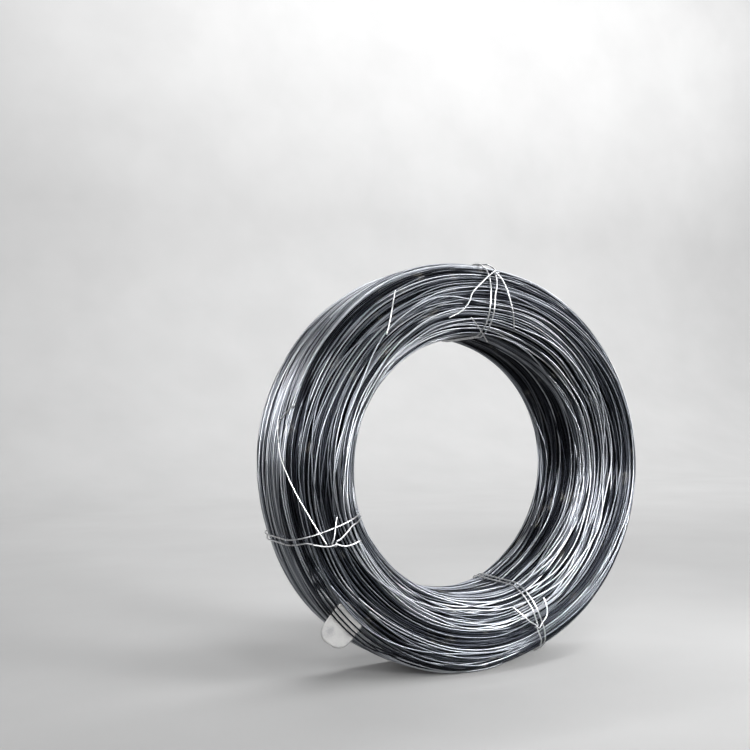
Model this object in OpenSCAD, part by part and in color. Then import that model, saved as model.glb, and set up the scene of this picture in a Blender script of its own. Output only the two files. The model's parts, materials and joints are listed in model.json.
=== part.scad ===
// Coil of cold drawn steel wire, bound with three wire ties and carrying a card tag.
// It stands on edge with its axis along Y and its front end towards -Y. Sizes are in mm.

/* [Coil] */
// outside diameter of the coil, over its turns
coil_d = 560; // [480:5:640]
// diameter of the bore
bore_d = 355; // [300:5:370]
// width of the coil along its axis, over its turns
coil_w = 158; // [130:2:190]
// rounding of the two outer shoulders
shoulder_r = 46; // [30:1:50]
// rounding of the two bore lips
lip_r = 44; // [30:1:48]

/* [Wire] */
// diameter of the coiled wire
wire_d = 2.5; // [2:0.1:3]
// spacing of the turns that show on the ends and the rim
turn_pitch = 3; // [2.6:0.1:4]
// height of the turns over the coil's section
turn_high = 0.7; // [0.4:0.1:0.9]
// how far the turns show round the lips of the bore, in degrees
turn_reach = 40; // [20:5:60]

/* [Ties] */
// diameter of the tie wire
tie_d = 2; // [1.6:0.1:2.6]
// clearance between a tie and the turns that it holds
tie_gap = 0.3; // [0.2:0.05:0.5]
// depth of a strand's crest behind the bore's wall
tie_sunk = 0.1; // [0:0.05:0.5]
// spacing of the two strands of a tie
strand_gap = 7; // [5:0.5:9]
// room beside the strands in the notch of the bore
notch_gap = 1; // [0.5:0.25:2]
// place of the top tie round the coil, from the right
top_angle = 85; // [75:1:95]
// place of the left tie round the coil
left_angle = 198; // [190:1:205]
// place of the right tie round the coil
right_angle = 291; // [285:1:300]
// place of the top tie's knot on the front shoulder, from the end
top_knot = 40; // [30:1:60]
// place of the left tie's knot on the front shoulder
left_knot = 5; // [0:1:20]
// place of the right tie's knot on the front shoulder
right_knot = 0; // [0:1:20]
// distance of the top tie's knot from the middle of the tie
top_aside = 10; // [6:1:14]
// distance of the left tie's knot from the middle of the tie
left_aside = 16; // [8:1:20]
// distance of the right tie's knot from the middle of the tie
right_aside = 8; // [6:1:14]
// length over which a strand leaves its line for the knot
knot_lead = 34; // [26:1:40]
// advance of the strand that winds once round the other in a knot
knot_advance = 5; // [4.5:0.5:7]
// length over which the two strands change places at the back
cross_run = 40; // [30:1:50]

/* [Tag] */
// width of the tag
tag_w = 44; // [40:1:52]
// length of the tag
tag_l = 60; // [50:1:72]
// thickness of the tag
tag_t = 0.8; // [0.6:0.1:1.2]
// rounding of the tag's corners
tag_round = 18; // [6:1:18]
// length of the tag that is pushed in between the turns
tag_depth = 15; // [10:1:18]
// clearance round the tag in its slit
tag_gap = 0.3; // [0.2:0.05:0.5]
// place of the tag round the coil
tag_angle = 223; // [215:1:232]
// place of the tag on the front shoulder, from the rim
tag_shoulder = 46; // [38:1:52]
// lean of the tag towards the back
tag_lean = 14; // [8:1:20]
// turn of the tag in its own plane
tag_turn = 10; // [-12:1:12]

/* [Hidden] */
$fn = 96;
coil_r = coil_d / 2 - turn_high;
bore_r = bore_d / 2;
half_w = coil_w / 2 - turn_high;
wire_r = wire_d / 2;
tie_r = tie_d / 2;
seat = tie_d + tie_gap + tie_sunk;
notch_w = strand_gap + tie_d + 2 * notch_gap;
full_turn = 360;

// roundings, limited by the coil's wall and width
wall = coil_r - bore_r;
round_fit = min(1, wall / (shoulder_r + lip_r), half_w / max(shoulder_r, lip_r));
shoulder = shoulder_r * round_fit;
lip = lip_r * round_fit;

// runs of the section's outline, from the bore's front lip outwards and round the back
lip_run = lip * PI / 2;
face_run = wall - shoulder - lip;
shoulder_run = shoulder * PI / 2;
band_run = 2 * (half_w - shoulder);
wall_run = 2 * (half_w - lip);
s_face = lip_run;
s_shoulder = s_face + face_run;
s_band = s_shoulder + shoulder_run;
s_rear_shoulder = s_band + band_run;
s_rear_face = s_rear_shoulder + shoulder_run;
s_rear_lip = s_rear_face + face_run;
s_wall = s_rear_lip + lip_run;
around = s_wall + wall_run;
lip_mid = bore_r + lip;
shoulder_mid = coil_r - shoulder;
lip_high = half_w - lip;
shoulder_high = half_w - shoulder;

// the turns that show, from the front lip over the rim to the rear lip
lip_reach = lip_run * turn_reach / 90;
s_first = s_face - lip_reach;
s_last = s_rear_lip + lip_reach;
turn_count = floor((s_last - s_first) / turn_pitch);
turn_step = (s_last - s_first) / turn_count;
turn_deep = wire_r - turn_high;
turn_sides = 8;

// lifts of the strands' middle lines from the coil's surface
low = tie_gap + tie_r;
over = tie_d + tie_gap;
knot_lift = turn_high + low + over;
bore_line = bore_r + tie_sunk + tie_r;
s_cross = (s_rear_lip + s_wall) / 2;
strand_half = strand_gap / 2;
function on_shoulder(turn) = s_shoulder + shoulder_run * turn / 90;

// the tails of the ties, as steps from the knot: along the outline, across it and above the knot
top_first_tail = [[-8, 4, 0.3], [-24, 11, 0.4], [-45, 20, 0.2], [-69, 30, 0]];
top_second_tail = [
    [-4, -10, 2.6], [-16, -26, 2.2], [-31, -44, 1],
    [-43, -49, 1], [-54, -60, 0.4], [-59, -78, 0]];
left_first_tail = [[-7, 4, 0.3], [-16, 8, 0.6], [-33, 9, 0.8]];
left_second_tail = [[-2, -10, 2.6], [-8, -22, 2.2], [-13, -32, 1.6]];
right_first_tail = [[-8, 5, 0.3], [-20, 13, 0.5], [-36, 22, 0.6]];
right_second_tail = [[-2, -9, 2.6], [-7, -20, 1.6], [-17, -25, 1], [-28, -27, 0.6]];

// one tie each: angle, side of the knot, the knot's two places and the two tails
top_tie = [top_angle, -1, on_shoulder(top_knot), top_aside, top_first_tail, top_second_tail];
left_tie = [left_angle, 1, on_shoulder(left_knot), left_aside, left_first_tail, left_second_tail];
right_tie = [right_angle, -1, on_shoulder(right_knot), right_aside, right_first_tail, right_second_tail];

// a place on a rounded corner of the outline: radius, height and the direction away from it
function corner(mid, high, rad, turn) = [mid + rad * cos(turn), high + rad * sin(turn), cos(turn), sin(turn)];

// degrees that a run turns through on a corner
function swept(run, rad) = run / rad * 180 / PI;

// a place on the outline at a run from the bore's front lip
function outline(s) =
    s < s_face ? corner(lip_mid, lip_high, lip, 180 - swept(s, lip)) :
    s < s_shoulder ? [lip_mid + s - s_face, half_w, 0, 1] :
    s < s_band ? corner(shoulder_mid, shoulder_high, shoulder, 90 - swept(s - s_shoulder, shoulder)) :
    s < s_rear_shoulder ? [coil_r, shoulder_high - (s - s_band), 1, 0] :
    s < s_rear_face ? corner(shoulder_mid, -shoulder_high, shoulder, -swept(s - s_rear_shoulder, shoulder)) :
    s < s_rear_lip ? [shoulder_mid - (s - s_rear_face), -half_w, 0, -1] :
    s < s_wall ? corner(lip_mid, -lip_high, lip, -90 - swept(s - s_rear_lip, lip)) :
    [bore_r, -lip_high + s - s_wall, -1, 0];

// the same for any run, in front of the start or past the end
function lap(s) = s - around * floor(s / around);

// a place over the coil and the direction away from the coil there, kept out of the bore
function over_coil(place, angle, side) =
    let (q = outline(lap(place[0])))
    let (a = angle + side * place[1] / q[0] * 180 / PI)
    let (r = max(q[0] + q[2] * place[2], bore_line))
    [[r * cos(a), r * sin(a), q[1] + q[3] * place[2]], [q[2] * cos(a), q[2] * sin(a), q[3]]];

// even change from 0 to 1, and from one value to another
function ramp(t) = t <= 0 ? 0 : t >= 1 ? 1 : t * t * (3 - 2 * t);
function mix(a, b, t) = a + (b - a) * t;

// rise where one strand passes over the other, a little longer than the crossing
rise_share = 1.3;
cross_half = rise_share * cross_run / 2;
function rise(s, mid) = abs(s - mid) < cross_half ? pow(cos(90 * (s - mid) / cross_half), 2) : 0;

// lift of a strand that lies on the coil, over the turns and plain on the lips of the bore
turn_ease = 8;
function over_turns(s) = ramp((s - s_first) / turn_ease + 1) - ramp((s - s_last) / turn_ease);
function lying(s) = low + turn_high * over_turns(s);

// distance of a strand from the tie's middle line, changing sides once at the back of each lap
function changed(s, mid) = ramp((s - mid) / cross_run + 1 / 2);
function across(s) = strand_half + strand_gap * (changed(s, s_cross + around) - changed(s, s_cross));

// the runs at which a strand leaves the bore's line for the lips, and a run moved to one that is near
s_leave = lip_run * acos((lip_mid - bore_line) / (lip + low)) / 90;
function moved(s, mark, near) = abs(lap(s) - mark) < near ? s + mark - lap(s) : s;
function on_marks(s, near) = moved(moved(s, s_leave, near), s_wall - s_leave, near);

// a tail's places, counted from the knot
function tail(tie, steps) = [for (p = steps) [tie[2] + p[0], tie[3] + p[1], knot_lift + p[2]]];
function backwards(list) = [for (i = [len(list) - 1:-1:0]) list[i]];

// the same places with others between them, so that a tail follows the coil's rounding
tail_steps = 3;
function finer(list) = concat(
    [for (i = [0:len(list) - 2], j = [0:tail_steps - 1]) mix(list[i], list[i + 1], j / tail_steps)],
    [list[len(list) - 1]]);

// line of one tie: first tail, knot, two laps round the coil, one turn round the first strand, second tail
lap_steps = 160;
lead_steps = 8;
knot_steps = 12;
knot_half = knot_advance / 2;
lead_in = 1.4 * over;
lead_out = 1.25 * over;
climb = 2;
function lead_lift(t) = mix(lying(s_face), knot_lift, ramp(climb * t));
function tie_line(tie) =
    let (s0 = tie[2])
    let (v0 = tie[3])
    let (first = s0 + knot_lead)
    let (last = s0 + 2 * around - knot_lead)
    let (near = (last - first) / lap_steps / 2)
    concat(
        finer(concat(backwards(tail(tie, tie[4])), [[s0 - knot_half, v0, knot_lift]])),
        [for (i = [0:lead_steps - 1]) let (t = i / lead_steps)
            [mix(s0 + knot_half, first, t), mix(v0, strand_half, ramp(t)), lead_lift(1 - t)]],
        [for (i = [0:lap_steps]) let (s = on_marks(mix(first, last, i / lap_steps), near))
            [s, across(s), lying(lap(s)) + over * rise(s, s_cross + around)]],
        [for (i = [1:lead_steps]) let (t = i / lead_steps)
            [mix(last, s0 + 2 * around - knot_advance, t), mix(strand_half, v0 - lead_in, ramp(t)),
                lead_lift(t) - tie_r * t]],
        [for (i = [0:knot_steps]) let (a = i * full_turn / knot_steps - 90)
            [s0 - knot_half + knot_advance * i / knot_steps, v0 + over * sin(a), knot_lift + over * cos(a)]],
        finer(concat([[s0 + knot_half + tie_gap, v0 - lead_out, knot_lift + tie_d]], tail(tie, tie[5]))));

// a round wire along a line
wire_sides = 8;
function unit(v) = v / norm(v);
function ring(line, i, rad) =
    let (p = line[i][0])
    let (t = unit(line[min(i + 1, len(line) - 1)][0] - line[max(i - 1, 0)][0]))
    let (b = unit(cross(t, line[i][1])))
    let (n = cross(b, t))
    [for (k = [0:wire_sides - 1]) let (a = k * full_turn / wire_sides) p + rad * (cos(a) * n + sin(a) * b)];

module wire_along(line, rad) {
    last = len(line) - 1;
    places = [for (i = [0:last]) each ring(line, i, rad)];
    walls = [for (i = [0:last - 1], k = [0:wire_sides - 1])
        let (a = i * wire_sides + k, b = i * wire_sides + (k + 1) % wire_sides)
        each [[a, a + wire_sides, b + wire_sides], [a, b + wire_sides, b]]];
    ends = [[for (k = [0:wire_sides - 1]) k], [for (k = [wire_sides - 1:-1:0]) last * wire_sides + k]];
    polyhedron(points = places, faces = concat(ends, walls));
}

// the coil's own axis is Z and its front end is up before it is stood on edge
module on_edge() {
    translate([0, 0, coil_d / 2]) rotate([90, 0, 0]) children();
}

// what a rounding takes off one corner of the section
module off_corner(mid, high, rad, out) {
    for (side = [-1, 1]) difference() {
        translate([min(mid, mid + out * rad), side > 0 ? high : -high - rad]) square(rad);
        translate([mid, side * high]) circle(r = rad);
    }
}

// section of one turn, with few flat sides and one of them facing along X
module turn_section() {
    half_side = 180 / turn_sides;
    rotate(half_side) circle(r = wire_r / cos(half_side), $fn = turn_sides);
}

// rounded section with the turns of the wire on its ends and rim
module coil_section() {
    difference() {
        translate([bore_r, -half_w]) square([wall, 2 * half_w]);
        off_corner(shoulder_mid, shoulder_high, shoulder, 1);
        off_corner(lip_mid, lip_high, lip, -1);
    }
    for (i = [0:turn_count - 1]) {
        q = outline(s_first + (i + 1 / 2) * turn_step);
        translate([q[0] - q[2] * turn_deep, q[1] - q[3] * turn_deep])
            rotate(atan2(q[3], q[2])) turn_section();
    }
}

// notch that a tie presses into the bore
module notch(angle) {
    rotate([0, 0, angle]) translate([0, -notch_w / 2, -coil_w]) cube([bore_r + seat, notch_w, 2 * coil_w]);
}

// place of the tag's plane on the front shoulder
module at_tag() {
    q = corner(shoulder_mid, shoulder_high, shoulder, tag_shoulder);
    rotate([0, 0, tag_angle]) translate([q[0], 0, q[1]])
        rotate([0, tag_lean, 0]) rotate([0, 0, tag_turn]) children();
}

module wire_coil() {
    color("dimgray") on_edge() difference() {
        rotate_extrude() coil_section();
        for (a = [top_angle, left_angle, right_angle]) notch(a);
        at_tag() translate([-tag_depth - tag_gap, -tag_w / 2 - tag_gap, -tag_t / 2 - tag_gap])
            cube([tag_l, tag_w + 2 * tag_gap, tag_t + 2 * tag_gap]);
    }
}

module binding_tie(tie) {
    line = [for (p = tie_line(tie)) over_coil(p, tie[0], tie[1])];
    color("silver") on_edge() wire_along(line, tie_r);
}

module binding_tie_top() {
    binding_tie(top_tie);
}

module binding_tie_left() {
    binding_tie(left_tie);
}

module binding_tie_right() {
    binding_tie(right_tie);
}

module tag() {
    corner_place = [-tag_depth, -tag_w / 2, -tag_t / 2];
    color("lightgray") on_edge() at_tag() translate(corner_place) linear_extrude(tag_t) {
        for (x = [tag_round, tag_l - tag_round], y = [tag_round, tag_w - tag_round])
            translate([x, y]) circle(r = tag_round);
        translate([tag_round, 0]) square([tag_l - 2 * tag_round, tag_w]);
        translate([0, tag_round]) square([tag_l, tag_w - 2 * tag_round]);
    }
}

wire_coil();
binding_tie_top();
binding_tie_left();
binding_tie_right();
tag();
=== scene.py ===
import json

import bpy
import numpy as np
from mathutils import Matrix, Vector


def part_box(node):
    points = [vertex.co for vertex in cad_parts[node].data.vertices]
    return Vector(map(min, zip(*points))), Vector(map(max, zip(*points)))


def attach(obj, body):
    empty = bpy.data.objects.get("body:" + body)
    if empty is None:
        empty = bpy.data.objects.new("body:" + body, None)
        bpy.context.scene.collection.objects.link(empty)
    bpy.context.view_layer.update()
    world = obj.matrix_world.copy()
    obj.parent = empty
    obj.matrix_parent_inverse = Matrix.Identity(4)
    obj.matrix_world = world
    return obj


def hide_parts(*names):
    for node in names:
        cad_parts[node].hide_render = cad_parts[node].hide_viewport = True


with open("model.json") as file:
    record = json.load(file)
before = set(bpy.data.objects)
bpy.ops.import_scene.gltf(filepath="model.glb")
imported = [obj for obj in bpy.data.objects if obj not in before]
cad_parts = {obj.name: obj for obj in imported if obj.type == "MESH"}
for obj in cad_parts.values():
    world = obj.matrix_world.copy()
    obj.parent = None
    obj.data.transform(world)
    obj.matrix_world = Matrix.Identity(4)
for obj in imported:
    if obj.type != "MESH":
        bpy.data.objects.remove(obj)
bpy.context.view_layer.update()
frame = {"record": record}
mm = 0.001
fullTurn = 2 * np.pi
print("frame loaded")


# The coil's section, in metres. Its axis runs along Y and its front end faces -Y.
coilLow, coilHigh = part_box("wire_coil")
boreMount = next(mount for mount in frame["record"]["mounts"] if mount["name"] == "bore")
coil = {
    "turnsStand": 0.7 * mm,      # over the section, on its ends and its rim
    "shoulder": 46 * mm,
    "lip": 44 * mm,
    "lipInBore": 0.5,            # share of a lip over which the bore passes into the end
    "ties": (85, 198, 291),      # degrees round the coil, from the right, seen from the front
}
boreR = boreMount["dims"]["r_mm"] * mm
rimR = coilHigh[0] - coil["turnsStand"]
halfW = coilHigh[1] - coil["turnsStand"]
midZ = coilHigh[2] / 2
lip, shoulder = coil["lip"], coil["shoulder"]
lipR, shoulderR = boreR + lip, rimR - shoulder
lipZ, shoulderZ = halfW - lip, halfW - shoulder
quarter = np.pi / 2

# Stretches of the outline, from the bore's front lip outwards and round the back. Each row holds its
# length, the radius of its bend, the middle or start of the bend, the first direction away from the
# coil and the direction in which a straight stretch runs.
stretches = np.array([
    [lip * quarter, lip, lipR, lipZ, 2 * quarter, 0, 0],
    [shoulderR - lipR, 0, lipR, halfW, quarter, 1, 0],
    [shoulder * quarter, shoulder, shoulderR, shoulderZ, quarter, 0, 0],
    [2 * shoulderZ, 0, rimR, shoulderZ, 0, 0, -1],
    [shoulder * quarter, shoulder, shoulderR, -shoulderZ, 0, 0, 0],
    [shoulderR - lipR, 0, shoulderR, -halfW, -quarter, -1, 0],
    [lip * quarter, lip, lipR, -lipZ, -quarter, 0, 0],
    [2 * lipZ, 0, boreR, -lipZ, 2 * quarter, 0, 1]])
marks = np.concatenate([[0], np.cumsum(stretches[:, 0])])
around = marks[-1]
boreMid = (marks[7] + marks[8]) / 2


# A run along the outline gives a radius, a height and the direction away from the coil: on a bend the
# direction turns by run over radius, on a straight stretch the place moves on and the direction stays.
def outline(run):
    run = np.mod(run, around)
    part = np.clip(np.searchsorted(marks, run, side="right") - 1, 0, len(stretches) - 1)
    bend, midR, midH, first, runR, runH = np.moveaxis(stretches[part], -1, 0)[1:]
    along = run - marks[part]
    turned = first - np.where(bend > 0, along / np.maximum(bend, mm), 0)
    awayR, awayH = np.cos(turned), np.sin(turned)
    return midR + bend * awayR + runR * along, midH + bend * awayH + runH * along, awayR, awayH


# A place at a run, a lift off the outline and an angle round the axis, with the direction away from
# the coil there. least keeps places out of the bore.
def overCoil(run, lift, angle, least=0.0):
    radius, high, awayR, awayH = outline(run)
    r = np.maximum(radius + awayR * lift, least)
    c, s = np.cos(angle), np.sin(angle)
    place = np.stack([r * c, -(high + awayH * lift), midZ + r * s], -1)
    away = np.stack([awayR * c, -awayH, awayR * s], -1)
    return place, away


# Even change from 0 to 1: three t squared less two t cubed.
def ease(t):
    t = np.clip(t, 0, 1)
    return t * t * (3 - 2 * t)


# How near each angle is to a tie: 1 under a tie, falling off as a bell of the given width.
def nearTies(angle, width):
    gap = np.angle(np.exp(1j * (angle[..., None] - np.radians(coil["ties"]))))
    return np.exp(-(gap / np.radians(width)) ** 2).sum(-1)


# How far a run lies inside the bore: 1 on its wall, 0 on the ends and the rim.
def inBore(run):
    away = np.abs(np.mod(run - boreMid + around / 2, around) - around / 2)
    return 1 - ease((away - lipZ) / (coil["lipInBore"] * lip))


# The coil is squeezed under its ties and swells between them.
swell = {
    "between": 2.4 * mm,
    "width": 17,                 # degrees
    "boreDip": 2.6 * mm,         # how far a tie pulls the bore's turns in
    "dipWidth": 5,
    "besideTie": 5 * mm,         # most that turns stand up right beside a tie
}


# Lift of the coil's surface: the swelling less its share near a tie, less the dip in the bore.
def swellAt(run, angle):
    loose = swell["between"] * (1 - nearTies(angle, swell["width"]))
    return loose - swell["boreDip"] * inBore(run) * nearTies(angle, swell["dipWidth"])


# A mesh from points and quads, with smooth faces, one value a point and one run a corner.
def meshPiece(name, points, quads, material, tone=None, runs=None, caps=()):
    mesh = bpy.data.meshes.new(name)
    corners = np.concatenate([quads.ravel()] + [np.asarray(cap) for cap in caps]).astype(np.int32)
    sizes = np.concatenate([np.full(len(quads), 4), [len(cap) for cap in caps]]).astype(np.int32)
    mesh.vertices.add(len(points))
    mesh.vertices.foreach_set("co", points.astype(np.float32).ravel())
    mesh.loops.add(len(corners))
    mesh.loops.foreach_set("vertex_index", corners)
    mesh.polygons.add(len(sizes))
    starts = np.concatenate([[0], np.cumsum(sizes)[:-1]]).astype(np.int32)
    mesh.polygons.foreach_set("loop_start", starts)
    mesh.polygons.foreach_set("use_smooth", np.arange(len(sizes)) < len(quads))
    if tone is not None:
        tones = mesh.attributes.new("tone", "FLOAT", "POINT")
        tones.data.foreach_set("value", tone.astype(np.float32).ravel())
    if runs is not None:
        spare = np.zeros((len(corners) - quads.size, 2))
        layer = mesh.uv_layers.new(name="wireRun")
        layer.data.foreach_set("uv", np.concatenate([runs, spare]).astype(np.float32).ravel())
    mesh.update()
    mesh.validate()
    mesh.materials.append(material)
    piece = bpy.data.objects.new(name, mesh)
    bpy.context.scene.collection.objects.link(piece)
    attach(piece, "root")
    return piece


# Round wires along lines: at each place a ring lies across the line, turned from the direction away
# from the coil, and quads join each ring to the next. lines holds (wires, places, 3).
def wirePiece(name, lines, away, radius, sides, closed, material, tone):
    wires, places = lines.shape[:2]
    if closed:
        along = np.roll(lines, -1, 1) - np.roll(lines, 1, 1)
    else:
        along = np.gradient(lines, axis=1)
    along /= np.linalg.norm(along, axis=-1, keepdims=True)
    side = np.cross(along, away)
    side /= np.linalg.norm(side, axis=-1, keepdims=True)
    out = np.cross(side, along)
    turn = np.arange(sides) * fullTurn / sides
    ring = np.cos(turn)[:, None] * out[:, :, None] + np.sin(turn)[:, None] * side[:, :, None]
    points = (lines[:, :, None] + radius * ring).reshape(-1, 3)
    steps = places if closed else places - 1
    wire, i, k = np.meshgrid(np.arange(wires), np.arange(steps), np.arange(sides), indexing="ij")
    first = wire * places * sides
    nextRing = first + (i + 1) % places * sides
    thisRing = first + i * sides
    nextSide = (k + 1) % sides
    quads = np.stack([thisRing + k, thisRing + nextSide, nextRing + nextSide, nextRing + k], -1)
    quads = quads.reshape(-1, 4)
    length = np.linalg.norm(np.diff(lines, axis=1), axis=-1).sum(1) / (places - 1)
    u = np.stack([i, i, i + 1, i + 1], -1) * length[wire][..., None] + wire[..., None]
    v = np.stack([k, k + 1, k + 1, k], -1) / sides
    runs = np.stack([u, v], -1).reshape(-1, 2)
    caps = []
    if not closed:
        ends = [w * places * sides for w in range(wires)]
        lastRing = (places - 1) * sides
        caps = [np.arange(sides)[::-1] + e for e in ends] + [np.arange(sides) + e + lastRing for e in ends]
    spread = np.broadcast_to(tone[:, :, None], (wires, places, sides))
    return meshPiece(name, points, quads, material, spread, runs, caps)


# A new material with its nodes, its links and its shader.
def newMaterial(name):
    material = bpy.data.materials.new(name)
    material.use_nodes = True
    nodes, links = material.node_tree.nodes, material.node_tree.links
    return material, nodes, links, nodes["Principled BSDF"]


# Colours at places from 0 to 1, straight between them.
def colourRamp(nodes, stops):
    ramp = nodes.new("ShaderNodeValToRGB")
    ramp.color_ramp.elements[0].position, ramp.color_ramp.elements[0].color = stops[0]
    ramp.color_ramp.elements[1].position, ramp.color_ramp.elements[1].color = stops[-1]
    for position, colour in stops[1:-1]:
        ramp.color_ramp.elements.new(position).color = colour
    return ramp


# Cloudy noise from 0 to 1 over the given coordinates.
def noise(nodes, links, vector, scale, detail=3.0, roughness=0.55):
    texture = nodes.new("ShaderNodeTexNoise")
    texture.inputs["Scale"].default_value = scale
    texture.inputs["Detail"].default_value = detail
    texture.inputs["Roughness"].default_value = roughness
    links.new(vector, texture.inputs["Vector"])
    return texture.outputs["Fac"]


# One sum or product of two numbers or sockets.
def mathNode(nodes, links, operation, a, b):
    node = nodes.new("ShaderNodeMath")
    node.operation = operation
    for value, socket in ((a, node.inputs[0]), (b, node.inputs[1])):
        if isinstance(value, (int, float)):
            socket.default_value = value
        else:
            links.new(value, socket)
    return node.outputs[0]


# Finish that both kinds of drawn wire share.
finish = {
    "patches": 0.16,             # share of the cloudy patches in the tone
    "dieLines": 0.14,            # share of the long lines from the die
    "level": -0.15,              # takes both shares' middles out again
    "fine": 3,                   # how much finer the dull flecks are than the patches
    "stretch": (4, 3, 1),        # die lines along the wire, round it
    "dieScale": 3,
    "bump": 0.05,
    "bumpHigh": 0.1 * mm,
}


# Drawn wire: the tone of each turn, plus shares of cloudy patches and of lines along the wire from the
# die, picks the colour. A dull residue covers the wire where patches and flecks are both strong.
def wireMaterial(name, stops, rough, patchScale, residue):
    material, nodes, links, shader = newMaterial(name)
    where = nodes.new("ShaderNodeTexCoord")
    tone = nodes.new("ShaderNodeAttribute")
    tone.attribute_name = "tone"
    patches = noise(nodes, links, where.outputs["Object"], patchScale, 4)
    fine = noise(nodes, links, where.outputs["Object"], patchScale * finish["fine"], 2)
    stretch = nodes.new("ShaderNodeMapping")
    stretch.inputs["Scale"].default_value = finish["stretch"]
    links.new(where.outputs["UV"], stretch.inputs["Vector"])
    dieLines = noise(nodes, links, stretch.outputs["Vector"], finish["dieScale"], 2, 0.5)
    shade = mathNode(nodes, links, "MULTIPLY", patches, finish["patches"])
    drawn = mathNode(nodes, links, "MULTIPLY", dieLines, finish["dieLines"])
    shade = mathNode(nodes, links, "ADD", shade, drawn)
    shade = mathNode(nodes, links, "ADD", shade, finish["level"])
    shade = mathNode(nodes, links, "ADD", shade, tone.outputs["Fac"])
    ramp = colourRamp(nodes, stops)
    links.new(shade, ramp.inputs["Fac"])
    dusty = nodes.new("ShaderNodeMix")
    dusty.data_type = "RGBA"
    dusty.inputs["B"].default_value = residue["colour"]
    most = (residue["most"],) * 3 + (1,)
    cover = colourRamp(nodes, [(residue["from"], (0, 0, 0, 1)), (residue["to"], most)])
    flecks = mathNode(nodes, links, "ADD", fine, 0.5)
    links.new(mathNode(nodes, links, "MULTIPLY", patches, flecks), cover.inputs["Fac"])
    links.new(cover.outputs["Color"], dusty.inputs["Factor"])
    links.new(ramp.outputs["Color"], dusty.inputs["A"])
    links.new(dusty.outputs["Result"], shader.inputs["Base Color"])
    dull = mathNode(nodes, links, "MULTIPLY", fine, rough[1] - rough[0])
    links.new(mathNode(nodes, links, "ADD", dull, rough[0]), shader.inputs["Roughness"])
    bump = nodes.new("ShaderNodeBump")
    bump.inputs["Strength"].default_value = finish["bump"]
    bump.inputs["Distance"].default_value = finish["bumpHigh"]
    links.new(dieLines, bump.inputs["Height"])
    links.new(bump.outputs["Normal"], shader.inputs["Normal"])
    shader.inputs["Metallic"].default_value = 1.0
    return material


steelWire = wireMaterial(
    "drawnSteel",
    [(0.0, (0.004, 0.0044, 0.0056, 1)), (0.3, (0.0195, 0.0215, 0.0275, 1)),
     (0.6, (0.125, 0.134, 0.151, 1)), (1.0, (0.37, 0.384, 0.41, 1))],
    (0.27, 0.35), 26, {"colour": (0.34, 0.32, 0.27, 1), "from": 0.62, "to": 0.85, "most": 0.22})
tieWire = wireMaterial(
    "tieSteel",
    [(0.0, (0.30, 0.305, 0.32, 1)), (0.5, (0.55, 0.555, 0.57, 1)), (1.0, (0.78, 0.78, 0.785, 1))],
    (0.22, 0.36), 60, {"colour": (0.3, 0.28, 0.24, 1), "from": 0.7, "to": 0.95, "most": 0.3})


cardLook = {
    "stops": [(0.42, (0.11, 0.11, 0.112, 1)), (0.58, (0.155, 0.155, 0.153, 1)),
              (0.8, (0.185, 0.184, 0.18, 1))],
    "fibre": 900, "fibreShare": 0.25, "smudge": 55, "rough": 0.62,
}


# Pale card: smudges plus a share of fine fibres pick the grey, and the fibres stand up a little.
def cardMaterial():
    material, nodes, links, shader = newMaterial("smudgedCard")
    where = nodes.new("ShaderNodeTexCoord")
    fibre = noise(nodes, links, where.outputs["Object"], cardLook["fibre"], 4)
    smudge = noise(nodes, links, where.outputs["Object"], cardLook["smudge"], 4, 0.6)
    fibreShade = mathNode(nodes, links, "MULTIPLY", fibre, cardLook["fibreShare"])
    mixed = mathNode(nodes, links, "ADD", fibreShade, smudge)
    ramp = colourRamp(nodes, cardLook["stops"])
    links.new(mixed, ramp.inputs["Fac"])
    links.new(ramp.outputs["Color"], shader.inputs["Base Color"])
    bump = nodes.new("ShaderNodeBump")
    bump.inputs["Strength"].default_value = 0.2
    bump.inputs["Distance"].default_value = 0.15 * mm
    links.new(fibre, bump.inputs["Height"])
    links.new(bump.outputs["Normal"], shader.inputs["Normal"])
    shader.inputs["Roughness"].default_value = cardLook["rough"]
    return material


card = cardMaterial()
print("materials made")


# The turns of the coil. They are laid in layers. The turns of a layer run side by side and share one
# wander that changes slowly across the layer, and each has a little of its own. Each turn rests on those
# laid before it.
turns = {
    "seed": 17,
    "wireD": 2.2 * mm,
    "columns": 132,
    "sides": 6,
    "layers": (
        # The layers' tones paint shade: the lowest layer is near-black and the higher ones lighter, because
        # the lower turns lie under the others.
        {"count": 150, "shared": 0.3, "own": 0.12, "tone": 0.08},
        {"count": 130, "shared": 0.5, "own": 0.06, "tone": 0.54},
        {"count": 66, "shared": 0.8, "own": 0.1, "tone": 0.62},
        {"count": 20, "shared": 0.8, "own": 1.2, "tone": 0.66}),
    "toneSpread": 0.28,
    # painted shade: the higher a turn lies, the lighter it is
    "heightShade": 0.3,                # how much lighter the highest turns are than the lowest
    "evenHigh": 0.6,                # share of the depth at which a turn keeps its tone
    "boreShade": 0.26,               # painted shade: the bore's turns are darkened
    "jitter": 0.2,                  # of the step between neighbours
    "wander": np.array([6.5, 4, 2.6, 1.7, 1.1, 0.8]) * mm,    # for one wave a turn, two, and so on
    "ripple": 0.4 * mm,             # of the shorter waves
    "ripples": (7, 18),
    "drift": 6,                     # most times that a shared wave shifts right round the section
    "heldShare": 0.55,              # how much of the wander a tie takes out
    "heldWidth": 14,
    "sink": 0.8,                    # a turn settles a little between those below it
    "depth": 6.0 * mm,              # from the lowest turns' middles to the highest ones'
    "firstRun": 20 * mm,
}
wireR = turns["wireD"] / 2
draw = np.random.default_rng(turns["seed"])
columns = np.arange(turns["columns"]) * fullTurn / turns["columns"]
ripples = np.arange(*turns["ripples"])
waves = np.concatenate([np.arange(1, len(turns["wander"]) + 1), ripples])
waveHigh = np.concatenate([turns["wander"], turns["ripple"] * ripples[0] / ripples])


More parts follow.
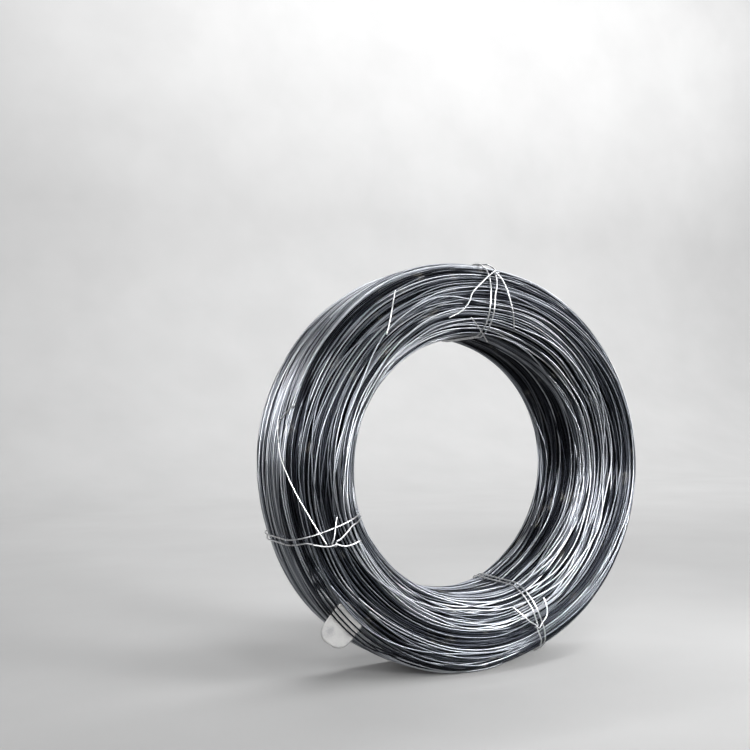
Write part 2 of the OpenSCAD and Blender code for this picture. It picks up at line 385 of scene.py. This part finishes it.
# Sum of cosine waves round the coil, each with its own height and shift. For a whole layer the shift
# grows with the place round the section, so neighbours wander nearly alike.
def wander(share, places, drift):
    high = draw.normal(0, 1, len(waves)) * waveHigh * share
    shift = draw.uniform(0, fullTurn, len(waves))
    shift = shift[:, None] + drift[:, None] * fullTurn * places / around
    return (high[:, None, None] * np.cos(waves[:, None, None] * columns - shift[:, :, None])).sum(0)


# Height of a new turn: over an earlier turn at a distance across of x, its middle stands above the
# other's by the root of d squared less x squared. Stiffness spreads each rise along the wire.
def restOn(run, runs, heights):
    across = run - runs
    across -= around * np.round(across / around)
    room = turns["wireD"] ** 2 - across ** 2
    over = heights + turns["sink"] * np.sqrt(np.maximum(room, 0))
    rise = np.where(room > 0, over, 0).max(0, initial=0)
    rise = np.max([np.roll(rise, q) for q in range(-2, 3)], axis=0)
    for _ in range(2):
        rise = sum(w * np.roll(rise, q) for q, w in zip(range(-2, 3), (1, 4, 6, 4, 1))) / 16
    return rise


# Runs of the turns of one layer: even steps round the section plus the wander, less what a tie holds.
def layerRuns(layer):
    count = layer["count"]
    held = 1 - turns["heldShare"] * nearTies(columns, turns["heldWidth"])
    places = (np.arange(count) + draw.uniform(-turns["jitter"], turns["jitter"], count)) * around / count
    drift = draw.integers(-turns["drift"], turns["drift"] + 1, len(waves))
    shared = wander(layer["shared"], places, drift)
    own = np.concatenate([wander(layer["own"], place[None], 0 * drift) for place in places])
    return places[:, None] + held * (shared + own)


# The turns one by one, in a mixed order within each layer: run, height and tone of each.
def layTurns():
    runs = np.zeros((0, turns["columns"]))
    heights = np.zeros_like(runs)
    tones = []
    for layer in turns["layers"]:
        for run in draw.permutation(layerRuns(layer)):
            rise = restOn(run, runs, heights)
            heights = np.vstack([heights, np.minimum(rise, turns["depth"])])
            runs = np.vstack([runs, run])
            tones.append(draw.normal(layer["tone"], turns["toneSpread"]))
    return runs, heights, np.array(tones)


turnRuns, turnHigh, turnToneAndShade = layTurns()
# Each turn's tone is its own random tone plus painted shade: lighter the higher it lies, darker in the
# bore.
turnToneAndShade = (turnToneAndShade[:, None] + turns["heightShade"] * (turnHigh / turns["depth"] - turns["evenHigh"])
            - turns["boreShade"] * inBore(turnRuns))
turnAngle = np.broadcast_to(columns, turnRuns.shape)
turnLift = turnHigh - turns["depth"] - wireR + swellAt(turnRuns, turnAngle)
underTie = swell["besideTie"] * (1 - nearTies(turnAngle, swell["dipWidth"])) - wireR
turnLift = np.minimum(turnLift, underTie) + coil["turnsStand"] * (1 - inBore(turnRuns))
turnLines, turnAway = overCoil(turnRuns, turnLift, turnAngle)
turnLines[..., 2] = np.maximum(turnLines[..., 2], wireR)   # the lowest turns are pressed flat on the floor
share = np.mod(turnRuns.mean(1) - turns["firstRun"], around) / around
for part, name in enumerate(("front_turns", "rim_turns", "rear_turns", "bore_turns")):
    chosen = (share * 4).astype(int) == part
    piece = wirePiece(name, turnLines[chosen], turnAway[chosen], wireR, turns["sides"], True, steelWire,
                      turnToneAndShade[chosen])
    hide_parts("wire_coil")
    print(name, chosen.sum(), "turns")


# The turns inside, as one ribbed surface under those above: a cosine rib a turn, shifted by a slow sine.
# Its near-black tone is painted shade.
inner = {"pitch": 3.2 * mm, "ribSteps": 4, "columns": 64, "rib": 0.9 * mm, "wander": 3 * mm, "tone": 0.04}


def innerTurns():
    count = int(around / inner["pitch"]) * inner["ribSteps"]
    run, angle = np.meshgrid(np.arange(count) * around / count,
                             np.arange(inner["columns"]) * fullTurn / inner["columns"], indexing="ij")
    shift = inner["wander"] * np.sin(3 * angle + 9 * run / around)
    ribs = inner["rib"] * np.cos(fullTurn * np.floor(around / inner["pitch"]) * (run + shift) / around)
    lift = ribs - turns["depth"] - 2 * wireR + swellAt(run, angle)
    points, _ = overCoil(run, lift, angle)
    i, k = np.meshgrid(np.arange(count), np.arange(inner["columns"]), indexing="ij")
    nextI, nextK = (i + 1) % count, (k + 1) % inner["columns"]
    w = inner["columns"]
    quads = np.stack([i * w + k, i * w + nextK, nextI * w + nextK, nextI * w + k], -1).reshape(-1, 4)
    tone = np.full(points.shape[:2], inner["tone"])
    piece = meshPiece("inner_turns", points.reshape(-1, 3), quads, steelWire, tone)
    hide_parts("wire_coil")


innerTurns()
print("inner turns made")


# Ties: each goes twice round the coil, is wound once round itself in a knot on the front shoulder and
# ends in two tails. The steps of a tail are along the outline, across it and above the knot.
ties = {
    "wireD": 2 * mm,
    "gap": 0.3 * mm,
    "sunk": 0.1 * mm,
    "strandGap": 7 * mm,
    "lead": 34 * mm,
    "advance": 5 * mm,
    "cross": 40 * mm,
    "riseShare": 1.3,
    "turnReach": 40,       # degrees that the turns show round the lips of the bore
    "turnEase": 8 * mm,
    "leadSteps": 14,
    "lapSteps": 420,
    "windSteps": 25,
    "tailSteps": 8,
    "leadAside": 1.4,      # the second end comes in beside the first, in strands
    "tailAside": 1.25,
    "sides": 10,
    "tone": 0.6,
    "binding_tie_top": {
        "angle": 85, "side": -1, "knot": 40, "aside": 10 * mm,
        "first": [[-8, 4, 0.3], [-24, 11, 0.4], [-45, 20, 0.2], [-69, 30, 0]],
        "second": [[-4, -10, 2.6], [-16, -26, 2.2], [-31, -44, 1], [-43, -49, 1], [-54, -60, 0.4],
                   [-59, -78, 0]]},
    "binding_tie_left": {
        "angle": 198, "side": 1, "knot": 5, "aside": 16 * mm,
        "first": [[-7, 4, 0.3], [-16, 8, 0.6], [-33, 9, 0.8]],
        "second": [[-2, -10, 2.6], [-8, -22, 2.2], [-13, -32, 1.6]]},
    "binding_tie_right": {
        "angle": 291, "side": -1, "knot": 0, "aside": 8 * mm,
        "first": [[-8, 5, 0.3], [-20, 13, 0.5], [-36, 22, 0.6]],
        "second": [[-2, -9, 2.6], [-7, -20, 1.6], [-17, -25, 1], [-28, -27, 0.6]]},
}
tieR = ties["wireD"] / 2
low = ties["gap"] + tieR
over = ties["wireD"] + ties["gap"]
knotLift = coil["turnsStand"] + low + over
boreLine = boreR + ties["sunk"] + tieR
reach = ties["turnReach"] / 90
firstTurn = marks[1] - reach * stretches[0, 0]
lastTurn = marks[6] + reach * stretches[6, 0]
crossRun = (marks[6] + marks[7]) / 2


# Lift of a strand that lies on the coil: over the turns on the ends and the rim, plain in the bore.
def lying(run):
    run = np.mod(run, around)
    onTurns = ease((run - firstTurn) / ties["turnEase"] + 1) - ease((run - lastTurn) / ties["turnEase"])
    return low + coil["turnsStand"] * onTurns


# A smooth curve through places, a cubic between each pair with the slopes of their neighbours.
def throughPlaces(places, steps):
    p = np.asarray(places, float)
    slope = np.gradient(p, axis=0)
    t = np.arange(steps)[None, :, None] / steps
    a, b, m, n = p[:-1, None], p[1:, None], slope[:-1, None], slope[1:, None]
    curve = ((2 * t ** 3 - 3 * t ** 2 + 1) * a + (t ** 3 - 2 * t ** 2 + t) * m
             + (3 * t ** 2 - 2 * t ** 3) * b + (t ** 3 - t ** 2) * n)
    return np.concatenate([curve.reshape(-1, p.shape[1]), p[-1:]])


# A tie's line as run, place across and lift: first tail, lead, two laps, lead, one round of the knot, tail.
# The laps change places where they cross, and one lifts over the other by a cosine squared.
def tieLine(tie):
    s0 = marks[2] + stretches[2, 0] * tie["knot"] / 90
    v0 = tie["aside"]
    half = ties["strandGap"] / 2
    knotHalf = ties["advance"] / 2
    knot = np.array([s0, v0, knotLift])
    first, last = s0 + ties["lead"], s0 + 2 * around - ties["lead"]
    firstTail = [knot + np.array(step) * mm for step in tie["first"]][::-1] + [knot - [knotHalf, 0, 0]]
    t = np.linspace(0, 1, ties["leadSteps"])[:-1]
    climb = ease(2 * (1 - t)) * (knotLift - lying(marks[1])) + lying(marks[1])
    leadOut = np.stack([s0 + knotHalf + (first - s0 - knotHalf) * t, v0 + (half - v0) * ease(t), climb], -1)
    run = np.linspace(first, last, ties["lapSteps"])
    changed = [ease((run - crossRun - lap * around) / ties["cross"] + 0.5) for lap in (0, 1)]
    far = np.clip((run - crossRun - around) / (ties["riseShare"] * ties["cross"] / 2), -1, 1)
    laps = np.stack([run, half + ties["strandGap"] * (changed[1] - changed[0]),
                     lying(run) + over * np.cos(quarter * far) ** 2], -1)
    t = np.linspace(0, 1, ties["leadSteps"])[1:]
    end = s0 + 2 * around - ties["advance"]
    climb = lying(marks[1]) + (knotLift - lying(marks[1])) * ease(2 * t) - tieR * t
    beside = v0 - ties["leadAside"] * over
    leadIn = np.stack([last + (end - last) * t, half + (beside - half) * ease(t), climb], -1)
    a = np.linspace(0, 1, ties["windSteps"])
    wound = np.stack([s0 - knotHalf + ties["advance"] * a, v0 + over * np.sin(fullTurn * a - quarter),
                      knotLift + over * np.cos(fullTurn * a - quarter)], -1)
    secondTail = [knot + [knotHalf + ties["gap"], -ties["tailAside"] * over, ties["wireD"]]]
    secondTail += [knot + np.array(step) * mm for step in tie["second"]]
    return np.concatenate([throughPlaces(firstTail, ties["tailSteps"]), leadOut, laps, leadIn, wound,
                           throughPlaces(secondTail, ties["tailSteps"])])


# The angle of each place is the tie's own plus its place across over the radius there.
def makeTie(name):
    tie = ties[name]
    line = tieLine(tie)
    radius = outline(line[:, 0])[0]
    angle = np.radians(tie["angle"]) + tie["side"] * line[:, 1] / radius
    places, away = overCoil(line[:, 0], line[:, 2], angle, boreLine)
    tone = np.full((1, len(line)), ties["tone"])
    strands = wirePiece(name + "_strands", places[None], away[None], tieR, ties["sides"], False, tieWire,
                        tone)
    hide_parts(name)


for tieName in ("binding_tie_top", "binding_tie_left", "binding_tie_right"):
    makeTie(tieName)
print("ties made")


# Loose ends of the coil's own wire, as places: run past the front face's start, degrees and lift.
loose = {"thick": 0.8, "steps": 10, "sides": 8, "tone": 0.8}
looseEnds = {
    "loose_end": [[24, 201, 3.6], [29, 196, 4], [38.5, 189, 4.6], [53, 181, 5], [64, 176.2, 5],
                  [69, 173.5, 5], [72.5, 171.2, 5], [77.5, 168.2, 5], [75.5, 166.3, 5.2],
                  [66, 164, 5.6], [57, 161.5, 6]],
    "loose_snip": [[42, 118.2, 6], [30, 121.5, 7], [18.5, 125, 7], [5, 129.5, 6]],
    "loose_tip": [[-19, 94.2, 5], [-35, 88.5, 5.5], [-60, 79.5, 4]],
}
for endName, endPlaces in looseEnds.items():
    endLine = throughPlaces(endPlaces, loose["steps"])
    endAt, endAway = overCoil(marks[1] + endLine[:, 0] * mm, endLine[:, 2] * mm, np.radians(endLine[:, 1]))
    endPiece = wirePiece(endName, endAt[None], endAway[None], loose["thick"] * wireR, loose["sides"], False,
                         tieWire, np.full((1, len(endLine)), loose["tone"]))
print("loose ends made")


# Tag: a card with rounded corners, pushed in between the turns. Rings grow from its middle line to its
# rounded outline, and it bends a little towards its free end.
tag = {
    "width": 44 * mm, "length": 60 * mm, "thick": 0.8 * mm, "round": 18 * mm, "depth": 15 * mm,
    "angle": 223, "shoulder": 46, "lean": 14, "turn": 10,
    "bend": 1.2 * mm, "curl": 0.8 * mm, "outlineSteps": 96, "rings": 12,
    "straight": 6,                             # how soon the rounded corners pass into the straight sides
    "turnsAt": np.array([5, 11, 16]) * mm,     # places of the turns over it, from its seat
    # The turns over the tag get a near-black tone: painted shade.
    "turnGap": 1.2 * mm, "turnHalf": 7, "turnEase": 15, "turnToneAndShade": 0.1,
}


# Turn about one axis.
def turnAbout(axis, degrees):
    return np.array(Matrix.Rotation(np.radians(degrees), 3, axis))


# The tag lying flat: a corner circle drawn apart by the straight sides. It bends with the square of the
# way to its free end, and its sides curl with the square of the way across.
def tagPoints():
    corner = np.arange(tag["outlineSteps"]) * fullTurn / tag["outlineSteps"]
    flatL, flatW = tag["length"] / 2 - tag["round"], tag["width"] / 2 - tag["round"]
    edgeX = tag["round"] * np.cos(corner) + flatL * np.clip(np.cos(corner) * tag["straight"], -1, 1)
    edgeY = tag["round"] * np.sin(corner) + flatW * np.clip(np.sin(corner) * tag["straight"], -1, 1)
    grow = np.linspace(0, 1, tag["rings"])[:, None]
    x, y = grow * edgeX, grow * edgeY
    free = np.clip((x + tag["length"] / 2 - tag["depth"]) / (tag["length"] - tag["depth"]), 0, 1)
    bent = tag["bend"] * free ** 2 + tag["curl"] * free * (2 * y / tag["width"]) ** 2
    middle = tag["length"] / 2 - tag["depth"]
    front = np.stack([x + middle, y, bent + tag["thick"] / 2], -1)
    back = np.stack([x + middle, y, bent - tag["thick"] / 2], -1)
    return np.concatenate([front, back[::-1]])


# The tag is leant and turned on its seat on the shoulder, then swung round the coil's axis.
def makeTag():
    local = tagPoints()
    seatTurn = np.radians(tag["shoulder"])
    seat = np.array([shoulderR + shoulder * np.cos(seatTurn), 0, shoulderZ + shoulder * np.sin(seatTurn)])
    turned = local @ (turnAbout("Y", tag["lean"]) @ turnAbout("Z", tag["turn"])).T + seat
    stood = turned @ turnAbout("Z", tag["angle"]).T
    points = np.stack([stood[..., 0], -stood[..., 2], midZ + stood[..., 1]], -1)
    rows, w = points.shape[:2]
    i, k = np.meshgrid(np.arange(rows - 1), np.arange(w), indexing="ij")
    nextK = (k + 1) % w
    quads = np.stack([i * w + k, (i + 1) * w + k, (i + 1) * w + nextK, i * w + nextK], -1).reshape(-1, 4)
    piece = meshPiece("card_tag", points.reshape(-1, 3), quads, card)
    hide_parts("tag")


# Turns that lie over the tag: by it they stand off the coil's shoulder by the tag's own distance, and
# to both sides they come down to the other turns.
def turnsOverTag():
    lean, seatTurn = np.radians(tag["lean"]), np.radians(tag["shoulder"])
    off = tag["thick"] / 2 + wireR + tag["turnGap"]
    r = shoulder * np.cos(seatTurn) + tag["turnsAt"] * np.cos(lean) + off * np.sin(lean)
    h = shoulder * np.sin(seatTurn) - tag["turnsAt"] * np.sin(lean) + off * np.cos(lean)
    run = marks[2] + shoulder * (quarter - np.arctan2(h, r))
    runs = np.broadcast_to(run[:, None], (len(run), len(columns)))
    angle = np.broadcast_to(columns, runs.shape)
    gap = np.abs(np.angle(np.exp(1j * (angle - np.radians(tag["angle"])))))
    near = 1 - ease((np.degrees(gap) - tag["turnHalf"]) / tag["turnEase"])
    stand = (np.hypot(r, h) - shoulder)[:, None]
    lift = stand * near + (swellAt(runs, angle) - wireR) * (1 - near)
    lines, away = overCoil(runs, lift, angle)
    # Their near-black tone is painted shade.
    piece = wirePiece("turns_over_tag", lines, away, wireR, turns["sides"], True, steelWire,
                      np.full(runs.shape, tag["turnToneAndShade"]))
    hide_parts("wire_coil")


makeTag()
turnsOverTag()
print("tag made")


# Stage: a pale sweep, flat under the coil and curving up behind it.
stage = {
    "half": 6.0, "front": -5.0, "back": 2.6, "bend": 1.5, "high": 5.0, "steps": 24,
    "greys": [(0.3, (0.22, 0.22, 0.22, 1)), (0.7, (0.235, 0.235, 0.235, 1))], "rough": 0.9,
}


# The section is a straight, a quarter circle and a straight, drawn out to both sides.
def makeStage():
    turn = np.linspace(0, quarter, stage["steps"])
    depth = np.concatenate([[stage["front"]], stage["back"] + stage["bend"] * np.sin(turn),
                            [stage["back"] + stage["bend"]]])
    high = np.concatenate([[0], stage["bend"] * (1 - np.cos(turn)), [stage["high"]]])
    across = np.linspace(-stage["half"], stage["half"], 3)
    x, y = np.meshgrid(across, depth, indexing="ij")
    z = np.broadcast_to(high, x.shape)
    points = np.stack([x, y, z], -1)
    w = len(depth)
    i, k = np.meshgrid(np.arange(len(across) - 1), np.arange(w - 1), indexing="ij")
    quads = np.stack([i * w + k, (i + 1) * w + k, (i + 1) * w + k + 1, i * w + k + 1], -1).reshape(-1, 4)
    mesh = bpy.data.meshes.new("sweep")
    mesh.from_pydata(points.reshape(-1, 3).tolist(), [], quads.tolist())
    mesh.shade_smooth()
    material, nodes, links, shader = newMaterial("paleSweep")
    where = nodes.new("ShaderNodeTexCoord")
    cloud = noise(nodes, links, where.outputs["Object"], 3, 3)
    ramp = colourRamp(nodes, stage["greys"])
    links.new(cloud, ramp.inputs["Fac"])
    links.new(ramp.outputs["Color"], shader.inputs["Base Color"])
    shader.inputs["Roughness"].default_value = stage["rough"]
    mesh.materials.append(material)
    sweep = bpy.data.objects.new("sweep", mesh)
    bpy.context.scene.collection.objects.link(sweep)


makeStage()


# Light: two long soft lamps, above and in front, draw lines of light along the turns. Smaller ones lift
# the left side, the low part of the face and the right edge. One lights the sweep behind, and the sky
# is weak.
lamps = {
    "overhead": {"at": (0.7, -1.0, 2.4), "to": (0.2, 0, 0.3), "size": (3.6, 0.5), "watts": 40,
                 "spread": 140},
    "strip": {"at": (0.5, -2.4, 1.3), "to": (0.1, 0, 0.25), "size": (4.0, 0.4), "watts": 18, "spread": 180},
    "left": {"at": (-2.3, -0.9, 1.4), "to": (0, 0, 0.3), "size": (0.7, 1.4), "watts": 2.4, "spread": 70},
    "front": {"at": (-1.5, -2.2, 0.9), "to": (0, 0, 0.3), "size": (0.6, 1.2), "watts": 14, "spread": 70},
    "low": {"at": (1.3, -1.7, 0.9), "to": (0, -0.08, 0.06), "size": (1.4, 0.5), "watts": 5.8, "spread": 40},
    "lowRight": {"at": (0.35, -2.2, 0.75), "to": (0.19, -0.06, 0.12), "size": (0.9, 0.4), "watts": 2.2,
                 "spread": 24},
    "edge": {"at": (2.2, 0.7, 0.45), "to": (0.28, 0, 0.3), "size": (0.6, 1.0), "watts": 2, "spread": 60},
    "backdrop": {"at": (2.5, 1.4, 3.6), "to": (2.5, 4.1, 1.4), "size": (7.0, 0.6), "watts": 640,
                 "spread": 180},
}
sky = {"colour": (0.9, 0.94, 1.0, 1), "strength": 0.07}


# A lamp's axes: it shines along the way from its place to its aim, and its long side lies level.
def aim(at, to):
    back = np.subtract(at, to)
    back = back / np.linalg.norm(back)
    right = np.cross((0, 0, 1), back)
    right = right / np.linalg.norm(right)
    up = np.cross(back, right)
    axes = np.eye(4)
    axes[:3, :3] = np.stack([right, up, back], 1)
    axes[:3, 3] = at
    return Matrix(axes.tolist())


for lampName, lamp in lamps.items():
    light = bpy.data.lights.new(lampName, "AREA")
    light.shape = "RECTANGLE"
    light.size, light.size_y = lamp["size"]
    light.energy = lamp["watts"]
    light.spread = np.radians(lamp["spread"])
    lampPiece = bpy.data.objects.new(lampName, light)
    lampPiece.matrix_world = aim(lamp["at"], lamp["to"])
    bpy.context.scene.collection.objects.link(lampPiece)
world = bpy.data.worlds.new("sky")
world.use_nodes = True
world.node_tree.nodes["Background"].inputs["Color"].default_value = sky["colour"]
world.node_tree.nodes["Background"].inputs["Strength"].default_value = sky["strength"]
bpy.context.scene.world = world


# Camera, as the photograph was taken: from the left of the coil's axis and a little above its middle.
view = {
    "at": (-0.7081, -1.2342, 0.3530),
    "right": (0.90341, -0.42837, -0.01855),
    "up": (0, -0.04327, 0.99906),
    "back": (-0.42877, -0.90256, -0.03909),
    "lens": 48, "sensor": 36,
}
cameraData = bpy.data.cameras.new("camera")
cameraData.lens = view["lens"]
cameraData.sensor_width = view["sensor"]
camera = bpy.data.objects.new("camera", cameraData)
cameraAxes = np.eye(4)
cameraAxes[:3, :] = np.stack([view["right"], view["up"], view["back"], view["at"]], 1)
camera.matrix_world = Matrix(cameraAxes.tolist())
bpy.context.scene.collection.objects.link(camera)
bpy.context.scene.camera = camera
bpy.context.scene.view_settings.view_transform = "Standard"
print("stage, light and camera made")
